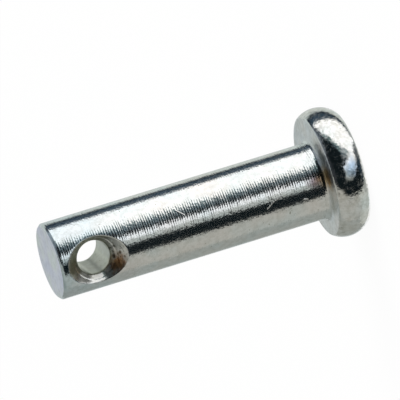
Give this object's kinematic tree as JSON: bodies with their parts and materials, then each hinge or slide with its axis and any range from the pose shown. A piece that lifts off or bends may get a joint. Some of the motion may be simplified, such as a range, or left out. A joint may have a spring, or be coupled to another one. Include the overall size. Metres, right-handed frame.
{
  "type": "clevis pin",
  "caption": "Headed clevis pin: plain round shank, flat barrel-rimmed head, and a countersunk cross hole near the free end for a split pin. Zinc-plated steel.",
  "frame": {"origin": "on the shank's axis, in the plane of the head's flat top, on which the pin stands", "axes": "+Z along the shank from the head to the free end; the cross hole runs along Y; the head stands off the shank's axis towards +X"},
  "size_m": [0.0079, 0.008, 0.0192],
  "materials": {
    "zinc_plated_steel": "bright zinc plate with a clear passivate over turned and cold-headed steel, fine feed marks round the shank, light scratches"
  },
  "bodies": {
    "root": {"clevis_pin": "zinc_plated_steel"}
  },
  "joints": []
}
